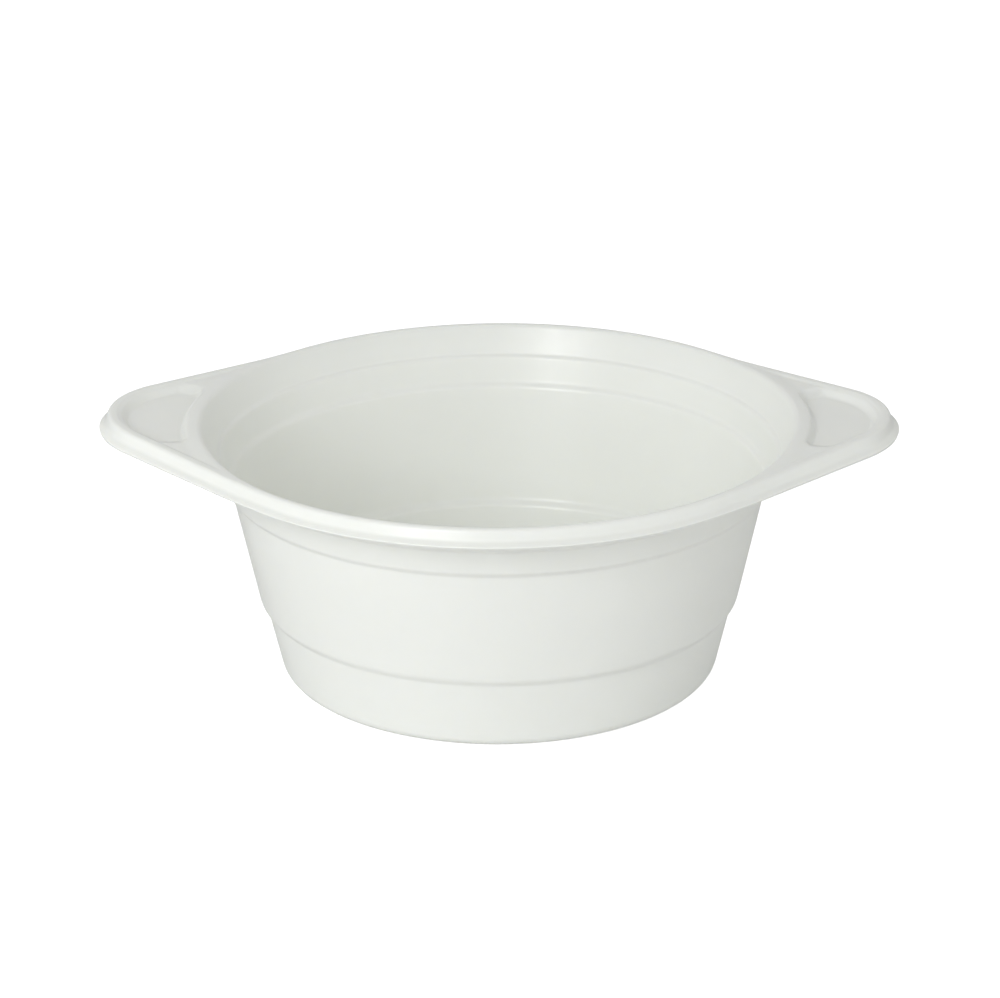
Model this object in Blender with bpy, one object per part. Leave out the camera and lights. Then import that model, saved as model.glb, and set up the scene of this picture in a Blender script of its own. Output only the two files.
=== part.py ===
"""A disposable two-handled soup bowl, thermoformed from one plastic sheet.

Frame: origin at the centre of the base, on the surface that the bowl stands on.
+Z is up and the two ears lie along X. Lengths below are in millimetres and the
mesh is built in metres.

The sheet's inner and upper skin is laid out as rings round the Z axis, from the
middle of the floor, up the wall, over the rim and the ears, and down the skirt to
the trimmed edge. Solidify then gives the sheet its thickness on the far side.
"""

import math

import bmesh
import bpy

MM = 0.001

# The sheet.
SHEET = 0.5

# Rim and ears, seen from above: a circle and one disc at each end, in one hull.
RIM_RADIUS = 61.0
RIM_HEIGHT = 52.8
MOUTH_RADIUS = 1.3
BEAD_RADIUS = 1.0
EAR_CENTRE = 57.8
EAR_RADIUS = 20.5
EAR_SLOPE = 0.06
EAR_SLOPE_START = 47.0
EAR_SLOPE_BLEND = 6.0

# Skirt below the rim: steep down from the bead, then a narrow flange to the trimmed edge.
SKIRT_FLARE = 2.75
SKIRT_HEIGHT = 2.9
SKIRT_ANGLE = math.radians(70)
FLANGE_WIDTH = 1.25
FLANGE_DROP = 0.7

# Top of each ear: sunk a little between the beads, with a thumb recess in it.
LAND_DEPTH = 0.35
LAND_MARGIN = 0.8
LAND_EDGE = 1.0
LAND_INNER_EDGE = 3.5
RECESS_DEPTH = 1.4
RECESS_EDGE = 1.5
RECESS_MARGIN = 1.7
RECESS_INNER_MARGIN = 1.7
RECESS_CORNER = 4.0

# Wall of the bowl, inner skin, as (radius, height).
FLOOR_HEIGHT = SHEET
PANEL_RADIUS = 33.0
PANEL_RAISE = 1.5
PANEL_EDGE = 2.0
CORNER_RADIUS = 2.4
WALL_FOOT = (44.25, FLOOR_HEIGHT)
SHOULDER_BOTTOM = (47.6, 15.05)
SHOULDER_TOP = (48.75, 16.2)
LOWER_LEDGE_BOTTOM = (53.95, 40.6)
LOWER_LEDGE_TOP = (54.85, 41.1)
UPPER_LEDGE_BOTTOM = (56.4, 46.45)
UPPER_LEDGE_TOP = (57.15, 46.95)

# Mesh spacing.
EAR_STEP = 3.0
ROUND_STEP = 5.0
BEAD_STEPS = 4

FLANK_ANGLE = math.acos((RIM_RADIUS - EAR_RADIUS) / EAR_CENTRE)


def angles():
    """The directions round the bowl, closer together along the ears."""
    ear = math.degrees(FLANK_ANGLE)
    ear_count = round(2 * ear / EAR_STEP)
    round_count = round((180 - 2 * ear) / ROUND_STEP)
    found = []
    for start, span, count in (
        (-ear, 2 * ear, ear_count),
        (ear, 180 - 2 * ear, round_count),
        (180 - ear, 2 * ear, ear_count),
        (180 + ear, 180 - 2 * ear, round_count),
    ):
        found += [math.radians(start + span * i / count) for i in range(count)]
    return found


def outline_radius(angle, offset):
    """Distance from the axis to the rim's outline, moved outwards by offset."""
    folded = abs(math.atan2(math.sin(angle), abs(math.cos(angle))))
    if folded >= FLANK_ANGLE:
        return RIM_RADIUS + offset
    across = EAR_CENTRE * math.sin(folded)
    disc = EAR_RADIUS + offset
    if across < disc:
        reach = EAR_CENTRE * math.cos(folded) + math.sqrt(disc**2 - across**2)
        point = (reach * math.cos(folded) - EAR_CENTRE, reach * math.sin(folded))
        if math.atan2(point[1], point[0]) <= FLANK_ANGLE:
            return reach
    return (RIM_RADIUS + offset) / math.cos(FLANK_ANGLE - folded)


def edge_distance(x, y):
    """How far a point on an ear lies inside the rim's outline."""
    x, y = abs(x), abs(y)
    from_disc = math.hypot(x - EAR_CENTRE, y)
    if x > EAR_CENTRE and math.atan2(y, x - EAR_CENTRE) <= FLANK_ANGLE:
        return EAR_RADIUS - from_disc
    return RIM_RADIUS - x * math.cos(FLANK_ANGLE) - y * math.sin(FLANK_ANGLE)


def smooth_step(value):
    value = min(max(value, 0.0), 1.0)
    return value * value * (3 - 2 * value)


def recess(x, y):
    """Depth of a point of an ear's top below the rim."""
    edge = edge_distance(x, y)
    mouth = math.hypot(x, y) - RIM_RADIUS
    top = smooth_step((edge - LAND_MARGIN) / LAND_EDGE)
    top *= smooth_step(mouth / LAND_INNER_EDGE)
    a, b = edge - RECESS_MARGIN, mouth - RECESS_INNER_MARGIN
    inside = min(a, b)
    # The corner where the outer edge, a, and the inner edge, b, meet is rounded.
    u, v = a - RECESS_CORNER, b - RECESS_CORNER
    turn = FLANK_ANGLE - math.atan2(abs(y), abs(x))
    lean = -math.cos(turn)
    if turn > 0 and u < lean * v and v < lean * u:
        inside = RECESS_CORNER - math.sqrt(u * u + v * v - 2 * lean * u * v) / math.sin(turn)
    return LAND_DEPTH * top + RECESS_DEPTH * smooth_step(inside / RECESS_EDGE)


def lift(x, z):
    """The ears rise a little towards their tips, and the rim goes with them."""
    past = abs(x) - EAR_SLOPE_START
    if past <= 0:
        return 0.0
    if past < EAR_SLOPE_BLEND:
        rise = EAR_SLOPE * past**2 / (2 * EAR_SLOPE_BLEND)
    else:
        rise = EAR_SLOPE * (past - EAR_SLOPE_BLEND / 2)
    return rise * smooth_step((z - UPPER_LEDGE_TOP[1]) / 4)


def wall_profile():
    """(radius, height) of the inner skin from the floor's middle to the rim."""
    foot, top = WALL_FOOT, SHOULDER_BOTTOM
    lean = math.atan2(top[0] - foot[0], top[1] - foot[1])
    turn = math.pi / 2 - lean
    reach = CORNER_RADIUS * math.tan(turn / 2)
    centre = (foot[0] - reach, foot[1] + CORNER_RADIUS)
    corner = []
    for i in range(4):
        a = turn * i / 3
        corner.append(
            (
                centre[0] + CORNER_RADIUS * math.sin(a),
                centre[1] - CORNER_RADIUS * math.cos(a),
            )
        )
    raised = FLOOR_HEIGHT + PANEL_RAISE
    panel = [(PANEL_RADIUS / 2, raised), (PANEL_RADIUS - PANEL_EDGE, raised)]
    panel.append((PANEL_RADIUS, FLOOR_HEIGHT))
    steps = [SHOULDER_BOTTOM, SHOULDER_TOP, LOWER_LEDGE_BOTTOM]
    steps += [LOWER_LEDGE_TOP, UPPER_LEDGE_BOTTOM, UPPER_LEDGE_TOP]
    return panel + corner + steps


def deck_positions(length):
    """Distances across an ear's top, from the mouth's bead to the outer bead."""
    near = [0.0, 1.6, 2.2, 2.7, 3.3]
    far = [3.4, 2.8, 2.3, 1.7, 0.0]
    full = near[-1] + far[0]
    if length <= full * 1.15:
        scale = length / (full * 1.15)
    else:
        scale = 1.0
    gap = length - full * scale
    middle = [near[-1] * scale + gap * i / 3 for i in (1, 2)]
    return [p * scale for p in near] + middle + [length - p * scale for p in far]


def rim_points(angle):
    """(radius, height) over the rim at one angle, from the wall to the trimmed edge."""
    outline = outline_radius(angle, 0.0)
    rise = math.atan2(
        RIM_HEIGHT - MOUTH_RADIUS - UPPER_LEDGE_TOP[1],
        RIM_RADIUS - MOUTH_RADIUS - UPPER_LEDGE_TOP[0],
    )
    start = rise + math.pi / 2
    points = []
    for i in range(BEAD_STEPS):
        a = start + (math.pi / 2 - start) * i / BEAD_STEPS
        radius = RIM_RADIUS + MOUTH_RADIUS * math.cos(a)
        points.append((radius, RIM_HEIGHT - MOUTH_RADIUS + MOUTH_RADIUS * math.sin(a)))
    for across in deck_positions(outline - RIM_RADIUS):
        radius = RIM_RADIUS + across
        depth = recess(radius * math.cos(angle), radius * math.sin(angle))
        points.append((radius, RIM_HEIGHT - depth))
    for i in range(1, BEAD_STEPS):
        a = math.pi / 2 - SKIRT_ANGLE * i / (BEAD_STEPS - 1)
        radius = outline_radius(angle, BEAD_RADIUS * math.cos(a))
        points.append((radius, RIM_HEIGHT - BEAD_RADIUS + BEAD_RADIUS * math.sin(a)))
    lip = RIM_HEIGHT - SKIRT_HEIGHT
    points.append((outline_radius(angle, SKIRT_FLARE - FLANGE_WIDTH), lip + FLANGE_DROP))
    points.append((outline_radius(angle, SKIRT_FLARE), lip))
    return points


def bowl_skin():
    """Vertices and faces of the inner and upper skin, facing up and inwards."""
    directions = angles()
    rows = [wall_profile() + rim_points(angle) for angle in directions]
    rings = len(rows[0])
    vertices = [(0.0, 0.0, (FLOOR_HEIGHT + PANEL_RAISE) * MM)]
    for angle, row in zip(directions, rows):
        for radius, height in row:
            x, y = radius * math.cos(angle), radius * math.sin(angle)
            vertices.append((x * MM, y * MM, (height + lift(x, height)) * MM))
    faces = []
    for i in range(len(directions)):
        here = 1 + i * rings
        after = 1 + (i + 1) % len(directions) * rings
        faces.append((0, here, after))
        for j in range(rings - 1):
            faces.append((here + j, here + j + 1, after + j + 1, after + j))
    return vertices, faces


def plastic():
    material = bpy.data.materials.new("white_plastic")
    material.use_nodes = True
    shader = material.node_tree.nodes["Principled BSDF"]
    shader.inputs["Base Color"].default_value = (0.80, 0.82, 0.77, 1.0)
    shader.inputs["Roughness"].default_value = 0.35
    return material


def build_bowl():
    vertices, faces = bowl_skin()
    mesh = bpy.data.meshes.new("bowl")
    mesh.from_pydata(vertices, [], faces)
    skin = bmesh.new()
    skin.from_mesh(mesh)
    # Where there is no ear, the rings across its top lie on one another.
    bmesh.ops.remove_doubles(skin, verts=skin.verts, dist=0.000002)
    skin.to_mesh(mesh)
    skin.free()
    mesh.shade_smooth()
    mesh.set_sharp_from_angle(angle=math.radians(50))
    mesh.materials.append(plastic())
    bowl = bpy.data.objects.new("bowl", mesh)
    bpy.context.scene.collection.objects.link(bowl)
    sheet = bowl.modifiers.new("sheet", "SOLIDIFY")
    sheet.thickness = SHEET * MM
    sheet.offset = -1.0
    sheet.use_even_offset = True
    sheet.use_quality_normals = True
    sheet.use_rim = True
    return bowl


def main():
    for existing in list(bpy.data.objects):
        bpy.data.objects.remove(existing, do_unlink=True)
    build_bowl()


main()
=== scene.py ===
"""The two-handled soup bowl as it looks: one thin thermoformed sheet of white plastic."""

import math

import bpy
from mathutils import Matrix, Vector


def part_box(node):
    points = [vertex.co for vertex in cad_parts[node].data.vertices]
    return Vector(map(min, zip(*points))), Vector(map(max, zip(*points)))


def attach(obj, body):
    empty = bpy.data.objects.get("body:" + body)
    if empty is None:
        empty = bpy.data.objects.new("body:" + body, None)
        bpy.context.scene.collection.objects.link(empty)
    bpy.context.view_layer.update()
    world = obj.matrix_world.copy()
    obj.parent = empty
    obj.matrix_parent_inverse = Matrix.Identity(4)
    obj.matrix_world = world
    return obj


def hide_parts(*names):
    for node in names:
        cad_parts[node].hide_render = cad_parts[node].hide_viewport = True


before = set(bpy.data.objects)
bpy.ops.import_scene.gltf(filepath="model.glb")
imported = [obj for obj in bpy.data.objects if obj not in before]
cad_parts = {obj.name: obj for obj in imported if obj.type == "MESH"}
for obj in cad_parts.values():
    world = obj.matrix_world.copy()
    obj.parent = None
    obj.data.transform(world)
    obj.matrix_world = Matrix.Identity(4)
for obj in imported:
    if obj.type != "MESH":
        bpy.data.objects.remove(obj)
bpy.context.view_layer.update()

MM = 0.001

# ---------------------------------------------------------------------------
# The sheet's shape, in millimetres. The overall sizes come from the CAD node.
# ---------------------------------------------------------------------------

LOW, HIGH = (tuple(value / MM for value in corner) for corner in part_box("bowl"))

SHEET = 0.5

# Rim: a bead at the mouth, one at the outline, then a steep skirt with a narrow flange.
MOUTH_RADIUS = 1.3
MOUTH_HALF_TURN = math.radians(31.5)
BEAD_RADIUS = 1.0
SKIRT_FLARE = 2.75
SKIRT_HEIGHT = 2.9
SKIRT_ANGLE = math.radians(70)
FLANGE_WIDTH = 1.25
FLANGE_DROP = 0.7
HEEL_UPPER_RADIUS = 1.0
HEEL_UNDER_RADIUS = 1.5
CUT_EDGE_RADIUS = 0.12

# Ears, which rise a little from EAR_SLOPE_START towards their tips.
EAR_RADIUS = 20.5
EAR_SLOPE = 0.06
EAR_SLOPE_START = 47.0
EAR_SLOPE_BLEND = 6.0
EAR_LIFT_HEIGHT = 4.0

RIM_RADIUS = (HIGH[1] - LOW[1]) / 2 - SKIRT_FLARE
EAR_TIP = (HIGH[0] - LOW[0]) / 2 - SKIRT_FLARE
EAR_CENTRE = EAR_TIP - EAR_RADIUS
TIP_RISE = EAR_SLOPE * (EAR_TIP - EAR_SLOPE_START - EAR_SLOPE_BLEND / 2)
RIM_HEIGHT = HIGH[2] - TIP_RISE

# Top of each ear: sunk a little between the beads, with a thumb recess in it.
LAND_DEPTH = 0.35
LAND_MARGIN = 0.8
LAND_EDGE = 1.0
LAND_INNER_EDGE = 3.5
RECESS_DEPTH = 1.4
RECESS_EDGE = 1.5
RECESS_MARGIN = 1.7
RECESS_INNER_MARGIN = 1.7
RECESS_CORNER = 4.0

# Wall, inner skin. A pair of points is (radius, height) at the step's foot and top.
PANEL_RADIUS = 33.0
PANEL_RAISE = 1.5
PANEL_EDGE = 2.0
WALL_FOOT = (44.25, SHEET)
SHOULDER = ((47.6, 15.05), (48.75, 16.2))
LOWER_LEDGE = ((53.93, 40.45), (54.88, 41.25))
UPPER_LEDGE = ((56.4, 46.45), (57.15, 46.95))

# Corner radii along the wall, from the floor panel to the mouth, for each skin.
INNER_RADII = (1.5, 1.0, 2.4, 1.4, 1.8, 1.4, 1.4, 0.9, 0.9, MOUTH_RADIUS)
OUTER_RADII = (1.0, 1.5, 2.9, 1.8, 2.6, 1.6, 1.8, 1.1, 1.3, MOUTH_RADIUS - SHEET)

# Mesh spacing. The rings on an ear's top are fine within DECK_END of both beads.
DIRECTIONS = 344
DECK_END = 4.6
DECK_FINE_STEPS = 20
DECK_COARSE_STEPS = 8
ARC_STEP = math.radians(12)
SUPPORT = 0.12
LONGEST_STEP = 3.0
SAME_POINT = 0.002

FLANK_ANGLE = math.acos((RIM_RADIUS - EAR_RADIUS) / EAR_CENTRE)


def unit(a, b):
    """The direction from a to b."""
    length = math.hypot(b[0] - a[0], b[1] - a[1])
    return (b[0] - a[0]) / length, (b[1] - a[1]) / length


def offset_line(points, distance):
    """The polyline moved to its right-hand side by distance, with mitred corners."""
    moved = []
    for i, point in enumerate(points):
        before = unit(points[max(i - 1, 0)], points[max(i, 1)])
        after = unit(points[min(i, len(points) - 2)], points[min(i + 1, len(points) - 1)])
        across = (before[1] + after[1], -before[0] - after[0])
        reach = 2 * distance / (across[0] ** 2 + across[1] ** 2)
        moved.append((point[0] + across[0] * reach, point[1] + across[1] * reach))
    return moved


def corner_arc(before, corner, after, radius):
    """Points of the arc that rounds one corner, from the first tangent to the last."""
    a, b = unit(corner, before), unit(corner, after)
    turn = math.pi - math.acos(max(-1.0, min(1.0, a[0] * b[0] + a[1] * b[1])))
    reach = radius * math.tan(turn / 2)
    steps = max(2, math.ceil(turn / ARC_STEP))
    middle = (a[0] + b[0], a[1] + b[1])
    out = radius / math.cos(turn / 2) / math.hypot(*middle)
    centre = (corner[0] + middle[0] * out, corner[1] + middle[1] * out)
    start = (corner[0] + a[0] * reach - centre[0], corner[1] + a[1] * reach - centre[1])
    side = 1.0 if a[0] * b[1] - a[1] * b[0] < 0 else -1.0
    points = []
    for i in range(steps + 1):
        swing = side * turn * i / steps
        c, s = math.cos(swing), math.sin(swing)
        points.append(
            (centre[0] + start[0] * c - start[1] * s, centre[1] + start[0] * s + start[1] * c)
        )
    return points


def straight(a, b):
    """Points inside a straight run: one close to each end, and more if it is long."""
    length = math.hypot(b[0] - a[0], b[1] - a[1])
    if length < 4 * SUPPORT:
        return []
    places = [SUPPORT / length, 1 - SUPPORT / length]
    count = math.ceil(length / LONGEST_STEP)
    places += [i / count for i in range(1, count)]
    return [(a[0] + (b[0] - a[0]) * t, a[1] + (b[1] - a[1]) * t) for t in sorted(places)]


def rounded(points, radii):
    """The polyline with each inner corner rounded by its radius."""
    line = [points[0]]
    for i, radius in enumerate(radii):
        arc = corner_arc(points[i], points[i + 1], points[i + 2], radius)
        line += straight(line[-1], arc[0]) + arc
    return line + straight(line[-1], points[-1]) + [points[-1]]


def wall_corners():
    """Corners of the inner skin, from the floor's middle to the top of the rim."""
    raised = SHEET + PANEL_RAISE
    mouth = RIM_RADIUS - MOUTH_RADIUS * math.tan(MOUTH_HALF_TURN)
    return [
        (0.0, raised),
        (PANEL_RADIUS - PANEL_EDGE, raised),
        (PANEL_RADIUS, SHEET),
        WALL_FOOT,
        *SHOULDER,
        *LOWER_LEDGE,
        *UPPER_LEDGE,
        (mouth, RIM_HEIGHT),
        (RIM_RADIUS, RIM_HEIGHT),
    ]


def skirt_corners():
    """Corners of the skirt's upper skin, as (distance outside the crest, height)."""
    start = BEAD_RADIUS * math.tan(SKIRT_ANGLE / 2)
    lip = (SKIRT_FLARE, RIM_HEIGHT - SKIRT_HEIGHT)
    heel = (lip[0] - FLANGE_WIDTH, lip[1] + FLANGE_DROP)
    return [(0.0, RIM_HEIGHT), (start, RIM_HEIGHT), heel, lip]


def cross_section():
    """The closed path round the sheet as (kind, distance, height) from top centre to bottom.

    A "wall" distance is a radius, a "deck" distance goes from 0 at the mouth to 3 at
    the outline, and an "edge" distance is how far a point lies outside the outline.
    """
    corners = wall_corners()
    inner = rounded(corners, INNER_RADII)[1:]
    outer = rounded(offset_line(corners, SHEET), OUTER_RADII)[1:]
    fine = [i / DECK_FINE_STEPS for i in range(1, DECK_FINE_STEPS + 1)]
    coarse = [1 + i / DECK_COARSE_STEPS for i in range(1, DECK_COARSE_STEPS)]
    deck = fine + coarse + [3 - t for t in reversed(fine)]
    upper = skirt_corners()
    under = offset_line(upper, SHEET)[::-1]
    upper_radii = (BEAD_RADIUS, HEEL_UPPER_RADIUS, CUT_EDGE_RADIUS)
    under_radii = (CUT_EDGE_RADIUS, HEEL_UNDER_RADIUS, BEAD_RADIUS - SHEET)
    skirt = rounded(upper + under, upper_radii + under_radii)
    path = [("wall", r, z) for r, z in inner]
    path += [("deck", t, RIM_HEIGHT) for t in deck]
    path += [("edge", d, z) for d, z in skirt]
    path += [("deck", t, RIM_HEIGHT - SHEET) for t in reversed(deck)]
    path += [("wall", r, z) for r, z in reversed(outer)]
    return path


def outline_radius(angle, offset):
    """Distance from the axis to the rim's outline, moved outwards by offset."""
    folded = abs(math.atan2(math.sin(angle), abs(math.cos(angle))))
    if folded >= FLANK_ANGLE:
        return RIM_RADIUS + offset
    across = EAR_CENTRE * math.sin(folded)
    disc = EAR_RADIUS + offset
    if across < disc:
        reach = EAR_CENTRE * math.cos(folded) + math.sqrt(disc**2 - across**2)
        point = (reach * math.cos(folded) - EAR_CENTRE, reach * math.sin(folded))
        if math.atan2(point[1], point[0]) <= FLANK_ANGLE:
            return reach
    return (RIM_RADIUS + offset) / math.cos(FLANK_ANGLE - folded)


def edge_distance(x, y):
    """How far a point on an ear lies inside the rim's outline."""
    x, y = abs(x), abs(y)
    from_disc = math.hypot(x - EAR_CENTRE, y)
    if x > EAR_CENTRE and math.atan2(y, x - EAR_CENTRE) <= FLANK_ANGLE:
        return EAR_RADIUS - from_disc
    return RIM_RADIUS - x * math.cos(FLANK_ANGLE) - y * math.sin(FLANK_ANGLE)


def smooth_step(value):
    value = min(max(value, 0.0), 1.0)
    return value * value * (3 - 2 * value)


def recess(x, y):
    """Depth of a point of an ear's top below the rim."""
    edge = edge_distance(x, y)
    mouth = math.hypot(x, y) - RIM_RADIUS
    top = smooth_step((edge - LAND_MARGIN) / LAND_EDGE)
    top *= smooth_step(mouth / LAND_INNER_EDGE)
    a, b = edge - RECESS_MARGIN, mouth - RECESS_INNER_MARGIN
    inside = min(a, b)
    # The corner where the outer edge, a, and the inner edge, b, meet is rounded.
    u, v = a - RECESS_CORNER, b - RECESS_CORNER
    turn = FLANK_ANGLE - math.atan2(abs(y), abs(x))
    lean = -math.cos(turn)
    if turn > 0 and u < lean * v and v < lean * u:
        inside = RECESS_CORNER - math.sqrt(u * u + v * v - 2 * lean * u * v) / math.sin(turn)
    return LAND_DEPTH * top + RECESS_DEPTH * smooth_step(inside / RECESS_EDGE)


def lift(x, z):
    """The ears rise a little towards their tips, and the rim goes with them."""
    past = abs(x) - EAR_SLOPE_START
    if past <= 0:
        return 0.0
    if past < EAR_SLOPE_BLEND:
        rise = EAR_SLOPE * past**2 / (2 * EAR_SLOPE_BLEND)
    else:
        rise = EAR_SLOPE * (past - EAR_SLOPE_BLEND / 2)
    return rise * smooth_step((z - UPPER_LEDGE[1][1]) / EAR_LIFT_HEIGHT)


def deck_radius(angle, place):
    """Radius at a place on the rim's top, where rings lie close together at both ends."""
    width = outline_radius(angle, 0.0) - RIM_RADIUS
    end = min(DECK_END, width / 3)
    if place <= 1:
        return RIM_RADIUS + place * end
    if place >= 2:
        return RIM_RADIUS + width - (3 - place) * end
    return RIM_RADIUS + end + (place - 1) * (width - 2 * end)


def sheet_point(kind, distance, height, angle):
    """One point of the cross-section's path, placed in a direction round the bowl."""
    if kind == "wall":
        radius = distance
    elif kind == "edge":
        radius = outline_radius(angle, distance)
    else:
        radius = deck_radius(angle, distance)
        height -= recess(radius * math.cos(angle), radius * math.sin(angle))
    x, y = radius * math.cos(angle), radius * math.sin(angle)
    return x, y, height + lift(x, height)


def bowl_mesh():
    """The whole sheet as one closed mesh, swept round the Z axis."""
    path = cross_section()
    middle = SHEET + PANEL_RAISE
    vertices = [(0.0, 0.0, middle), (0.0, 0.0, middle - SHEET)]
    columns = []
    for i in range(DIRECTIONS):
        angle = 2 * math.pi * i / DIRECTIONS
        column = [0]
        for kind, distance, height in path:
            point = sheet_point(kind, distance, height, angle)
            if math.dist(point, vertices[column[-1]]) > SAME_POINT:
                column.append(len(vertices))
                vertices.append(point)
            else:
                column.append(column[-1])
        if math.dist(vertices[column[-1]], vertices[1]) < SAME_POINT:
            raise ValueError("the last ring meets the pole")
        columns.append(column + [1])
    faces = []
    for i, here in enumerate(columns):
        after = columns[(i + 1) % DIRECTIONS]
        for j in range(len(here) - 1):
            corners_of = (here[j], here[j + 1], after[j + 1], after[j])
            face = [v for k, v in enumerate(corners_of) if v != corners_of[k - 1]]
            if len(face) > 2:
                faces.append(face)
    mesh = bpy.data.meshes.new("bowl_sheet")
    mesh.from_pydata([tuple(c * MM for c in v) for v in vertices], [], faces)
    mesh.shade_smooth()
    return mesh


# ---------------------------------------------------------------------------
# Material
# ---------------------------------------------------------------------------


def noise(tree, vector, wavelength, detail):
    """A noise texture whose features are about one wavelength across, in metres."""
    node = tree.nodes.new("ShaderNodeTexNoise")
    node.inputs["Scale"].default_value = 1 / wavelength
    node.inputs["Detail"].default_value = detail
    tree.links.new(vector, node.inputs["Vector"])
    return node.outputs["Fac"]


def remap(tree, value, low, high):
    """A noise value, which seldom leaves 0.3 to 0.7, spread over low to high."""
    node = tree.nodes.new("ShaderNodeMapRange")
    node.inputs["From Min"].default_value = 0.3
    node.inputs["From Max"].default_value = 0.7
    node.inputs["To Min"].default_value = low
    node.inputs["To Max"].default_value = high
    tree.links.new(value, node.inputs["Value"])
    return node.outputs["Result"]


def stretched(tree, vector, scale):
    node = tree.nodes.new("ShaderNodeMapping")
    node.inputs["Scale"].default_value = scale
    tree.links.new(vector, node.inputs["Vector"])
    return node.outputs["Vector"]


def bump(tree, height, distance, normal=None):
    """A bump of the given height in metres, on top of an earlier one if there is one."""
    node = tree.nodes.new("ShaderNodeBump")
    node.inputs["Strength"].default_value = 1.0
    node.inputs["Distance"].default_value = distance
    tree.links.new(height, node.inputs["Height"])
    if normal is not None:
        tree.links.new(normal, node.inputs["Normal"])
    return node.outputs["Normal"]


def plastic_material():
    """Thin satin white plastic: faint draw marks, orange peel and a little light through it."""
    material = bpy.data.materials.new("white_plastic")
    material.use_nodes = True
    tree = material.node_tree
    shader = tree.nodes["Principled BSDF"]
    place = tree.nodes.new("ShaderNodeTexCoord").outputs["Object"]

    cloud = noise(tree, place, 0.03, 3.0)
    draw = noise(tree, stretched(tree, place, (1.0, 1.0, 0.12)), 0.004, 2.0)
    peel = noise(tree, place, 0.0012, 2.0)
    swell = noise(tree, place, 0.012, 1.0)

    tint = tree.nodes.new("ShaderNodeMix")
    tint.data_type = "RGBA"
    tint.inputs["A"].default_value = (0.86, 0.88, 0.824, 1.0)
    tint.inputs["B"].default_value = (0.838, 0.858, 0.804, 1.0)
    tree.links.new(remap(tree, cloud, 0.0, 1.0), tint.inputs["Factor"])
    tree.links.new(tint.outputs["Result"], shader.inputs["Base Color"])
    tree.links.new(remap(tree, draw, 0.30, 0.38), shader.inputs["Roughness"])

    relief = bump(tree, swell, 0.00006)
    relief = bump(tree, draw, 0.000006, relief)
    relief = bump(tree, peel, 0.000003, relief)
    tree.links.new(relief, shader.inputs["Normal"])

    shader.inputs["Subsurface Weight"].default_value = 0.5
    shader.inputs["Subsurface Radius"].default_value = (1.0, 0.95, 0.8)
    shader.inputs["Subsurface Scale"].default_value = 0.002
    shader.inputs["IOR"].default_value = 1.5
    return material


def card_material(name, glow):
    """Matt pale card, which glows a little where it should read as plain white."""
    material = bpy.data.materials.new(name)
    material.use_nodes = True
    shader = material.node_tree.nodes["Principled BSDF"]
    shader.inputs["Base Color"].default_value = (0.9, 0.9, 0.9, 1.0)
    shader.inputs["Roughness"].default_value = 0.9
    shader.inputs["Specular IOR Level"].default_value = 0.2
    shader.inputs["Emission Color"].default_value = (1.0, 1.0, 1.0, 1.0)
    shader.inputs["Emission Strength"].default_value = glow
    return material


# ---------------------------------------------------------------------------
# Stage, in metres and watts
# ---------------------------------------------------------------------------

FLOOR_HALF = 3.0
FLOOR_GAP = 0.00005
FLOOR_GLOW = 0.7

WORLD_BELOW = 0.37
WORLD_HORIZON = 0.68
WORLD_ZENITH = 0.33

# Name, azimuth and elevation in degrees, distance, width, height, power.
SOFTBOXES = (
    ("key", -25, 29, 0.9, 0.22, 0.42, 3.5),
    ("left_side", -80, 12, 0.9, 0.45, 0.4, 0.4),
    ("right_side", 80, 12, 0.9, 0.45, 0.4, 0.45),
)


def add_object(name, data):
    made = bpy.data.objects.new(name, data)
    bpy.context.scene.collection.objects.link(made)
    return made


def add_card(name, glow):
    """A large square card that lies under the bowl."""
    mesh = bpy.data.meshes.new(name)
    square = [(-1, -1), (1, -1), (1, 1), (-1, 1)]
    mesh.from_pydata([(x * FLOOR_HALF, y * FLOOR_HALF, 0.0) for x, y in square], [], [(0, 1, 2, 3)])
    mesh.materials.append(card_material(name, glow))
    card = add_object(name, mesh)
    card.location.z = -FLOOR_GAP
    return card


def add_floor():
    """The floor, and a dimmer twin just below it that only lights the bowl.

    The floor itself is bright enough to read as white with hardly any shadow. As a
    light it would wash out the bowl's lower edge and its silhouette.
    """
    floor = add_card("floor", FLOOR_GLOW)
    floor.visible_diffuse = False
    floor.visible_glossy = False
    floor.visible_transmission = False
    floor.visible_shadow = False
    bounce = add_card("floor_bounce", 0.0)
    bounce.location.z -= FLOOR_GAP
    bounce.visible_camera = False
    bounce.visible_glossy = False


def add_softbox(name, azimuth, elevation, distance, width, height, power):
    """A rectangular lamp that looks at the bowl; azimuth 0 is on the -Y side."""
    lamp = bpy.data.lights.new(name, "AREA")
    lamp.shape = "RECTANGLE"
    lamp.size, lamp.size_y = width, height
    lamp.energy = power
    a, e = math.radians(azimuth), math.radians(elevation)
    back = Vector((math.sin(a) * math.cos(e), -math.cos(a) * math.cos(e), math.sin(e)))
    made = add_object(name, lamp)
    made.location = back * distance + Vector((0, 0, RIM_HEIGHT * MM))
    made.rotation_mode = "QUATERNION"
    made.rotation_quaternion = (-back).to_track_quat("-Z", "Y")


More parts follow.
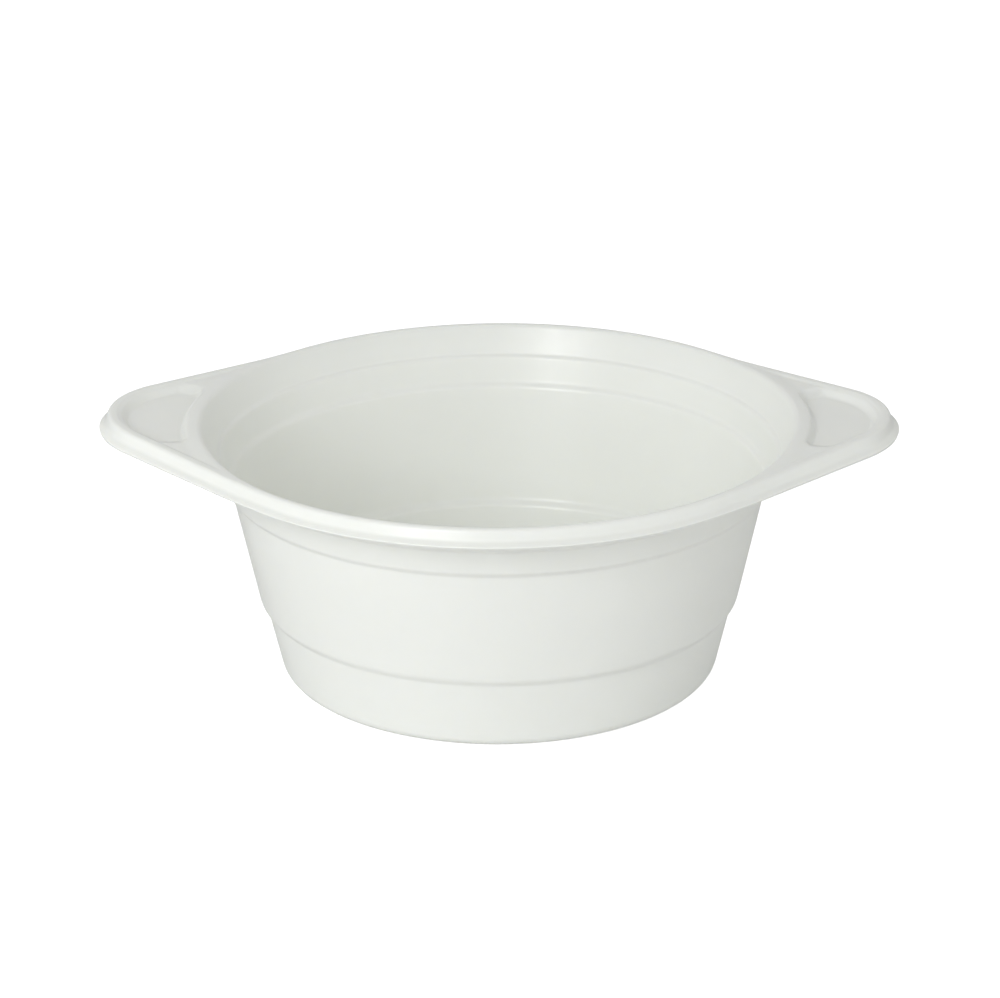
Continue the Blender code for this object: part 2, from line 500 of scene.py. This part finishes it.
def add_world():
    """Studio walls give the most light; the floor side and the ceiling give less."""
    world = bpy.data.worlds.new("studio")
    world.use_nodes = True
    tree = world.node_tree
    direction = tree.nodes.new("ShaderNodeTexCoord").outputs["Generated"]
    split = tree.nodes.new("ShaderNodeSeparateXYZ")
    tree.links.new(direction, split.inputs["Vector"])
    ramp = tree.nodes.new("ShaderNodeValToRGB")
    tree.links.new(split.outputs["Z"], ramp.inputs["Fac"])
    stops = ramp.color_ramp.elements
    stops[0].position, stops[1].position = 0.0, 0.02
    stops.new(0.65)
    stops.new(0.85)
    levels = (WORLD_BELOW, WORLD_HORIZON, WORLD_HORIZON, WORLD_ZENITH)
    for stop, level in zip(stops, levels):
        stop.color = (level, level, level, 1.0)
    tree.links.new(ramp.outputs["Color"], tree.nodes["Background"].inputs["Color"])
    bpy.context.scene.world = world


# ---------------------------------------------------------------------------
# Camera, with angles in degrees. Its distance and AIM_RIGHT are in metres, and the
# lens, the sensor and AIM_BELOW_RIM are in millimetres.
# ---------------------------------------------------------------------------

CAMERA_AZIMUTH = 2.06
CAMERA_ELEVATION = 21.14
CAMERA_ROLL = -0.355
CAMERA_DISTANCE = 0.691
CAMERA_LENS = 121.65
SENSOR_WIDTH = 36.0
AIM_RIGHT = 0.0003
AIM_BELOW_RIM = 17.79


def add_camera():
    data = bpy.data.cameras.new("camera")
    data.sensor_width = SENSOR_WIDTH
    data.lens = CAMERA_LENS
    data.clip_start, data.clip_end = 0.01, 20.0
    a, e = math.radians(CAMERA_AZIMUTH), math.radians(CAMERA_ELEVATION)
    back = Vector((math.sin(a) * math.cos(e), -math.cos(a) * math.cos(e), math.sin(e)))
    right = Vector((math.cos(a), math.sin(a), 0.0))
    up = back.cross(right)
    roll = math.radians(CAMERA_ROLL)
    across = right * math.cos(roll) + up * math.sin(roll)
    upright = up * math.cos(roll) - right * math.sin(roll)
    aim = right * AIM_RIGHT + Vector((0, 0, (RIM_HEIGHT - AIM_BELOW_RIM) * MM))
    made = add_object("camera", data)
    made.matrix_world = Matrix.Translation(aim + back * CAMERA_DISTANCE) @ Matrix(
        (across, upright, back)
    ).transposed().to_4x4()
    bpy.context.scene.camera = made


def main():
    bowl = add_object("bowl_sheet", bowl_mesh())
    bowl.data.materials.append(plastic_material())
    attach(bowl, "root")
    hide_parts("bowl")

    add_floor()
    add_world()
    for softbox in SOFTBOXES:
        add_softbox(*softbox)
    add_camera()
    bpy.context.scene.view_settings.view_transform = "Standard"


main()
